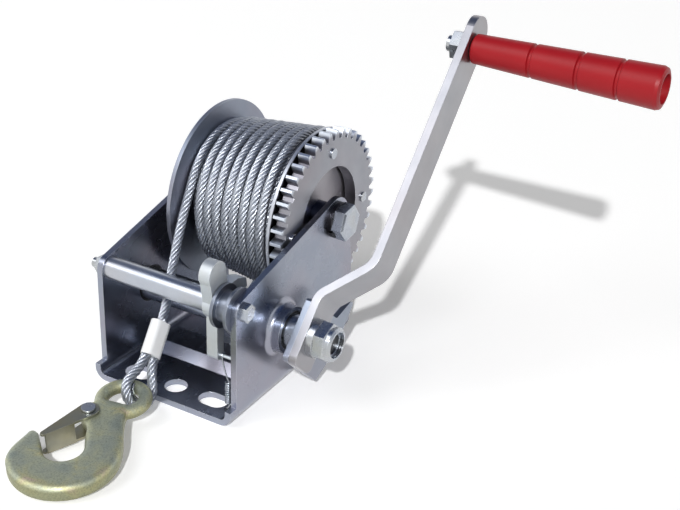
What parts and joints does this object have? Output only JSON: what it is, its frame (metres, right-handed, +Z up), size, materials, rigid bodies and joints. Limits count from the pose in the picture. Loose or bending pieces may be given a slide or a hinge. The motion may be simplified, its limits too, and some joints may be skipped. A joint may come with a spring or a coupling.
{
  "type": "hand winch",
  "caption": "Hand winch with a bent sheet-steel frame, geared rope drum, crank with turning grip, ratchet pawl, and a wire rope that ends in a latched eye hook.",
  "frame": {"origin": "middle of the four base slots, on the underside of the base", "axes": "+X along the drum axis towards the crank, +Y to the rear, +Z up out of the base"},
  "size_m": [0.2219, 0.2505, 0.1619],
  "materials": {
    "frame_zinc": "bright zinc plate",
    "hardware_zinc": "zinc plate",
    "gear_zinc": "zinc plate",
    "drum_steel": "dark zinc plate",
    "dark_steel": "blackened",
    "pawl_steel": "matte zinc",
    "rope_steel": "galvanised strand",
    "ferrule_aluminium": "bright pressed",
    "hook_zinc": "yellow zinc plate",
    "bush_dark": "blackened, oiled",
    "grip_red": "satin"
  },
  "bodies": {
    "frame": {"frame_channel": "frame_zinc", "tie_bolt": "hardware_zinc", "tie_nut": "hardware_zinc", "tie_spacer_tube": "frame_zinc", "pawl_bush": "hardware_zinc", "pawl_washers": "hardware_zinc", "pawl_spring": "hardware_zinc", "drum_bolt": "hardware_zinc", "drum_lock_washer": "dark_steel", "drum_nut": "hardware_zinc", "left_shaft_bush": "bush_dark", "right_shaft_bush": "bush_dark", "rope_last_turn": "rope_steel", "rope_lead": "rope_steel", "ferrule": "ferrule_aluminium", "rope_eye": "rope_steel", "thimble": "hardware_zinc", "hook_body": "hook_zinc", "latch_rivet": "hardware_zinc"},
    "drum": {"drum_bush": "hardware_zinc", "drum_core": "drum_steel", "left_flange": "drum_steel", "right_flange": "drum_steel", "drum_gear": "gear_zinc", "gear_rivet_1": "hardware_zinc", "gear_rivet_2": "hardware_zinc", "gear_rivet_3": "hardware_zinc", "gear_rivet_4": "hardware_zinc", "rope_inner_layers": "rope_steel", "rope_winding": "rope_steel", "rope_clamp": "hardware_zinc"},
    "crank": {"pinion_shaft": "gear_zinc", "pinion_gear": "gear_zinc", "ratchet_wheel": "gear_zinc", "shaft_clip": "dark_steel", "crank_hub_plate": "frame_zinc", "crank_arm": "frame_zinc", "crank_washer": "dark_steel", "crank_nut": "hardware_zinc", "grip_bolt": "hardware_zinc", "grip_nut": "hardware_zinc"},
    "grip": {"grip": "grip_red"},
    "pawl": {"pawl": "pawl_steel"},
    "latch": {"hook_latch": "hook_zinc"}
  },
  "joints": [
    {"name": "drum_spin", "type": "hinge", "parent": "frame", "child": "drum", "pos_m": [0, 0.03472, 0.06934], "axis": [1, 0, 0], "continuous": true},
    {"name": "crank_spin", "type": "hinge", "parent": "frame", "child": "crank", "pos_m": [0, -0.015, 0.034], "axis": [1, 0, 0], "continuous": true},
    {"name": "grip_spin", "type": "hinge", "parent": "crank", "child": "grip", "pos_m": [0.1238, 0.09273, 0.14752], "axis": [1, 0, 0], "continuous": true},
    {"name": "pawl_swing", "type": "hinge", "parent": "frame", "child": "pawl", "pos_m": [0.0237, -0.0445, 0.0558], "axis": [1, 0, 0], "range_deg": [-20, 20], "stiffness_Nm_per_rad": 0.1, "deforming": ["pawl_spring"]},
    {"name": "latch_swing", "type": "hinge", "parent": "frame", "child": "latch", "pos_m": [-0.01144, -0.09306, 0.00796], "axis": [0.0129, -0.0739, 0.9972], "range_deg": [0, 20], "stiffness_Nm_per_rad": 0.02, "springref_deg": -20.05}
  ],
  "couplings": [
    {"joint": "crank_spin", "follows": "drum_spin", "ratio": -2.2105}
  ]
}
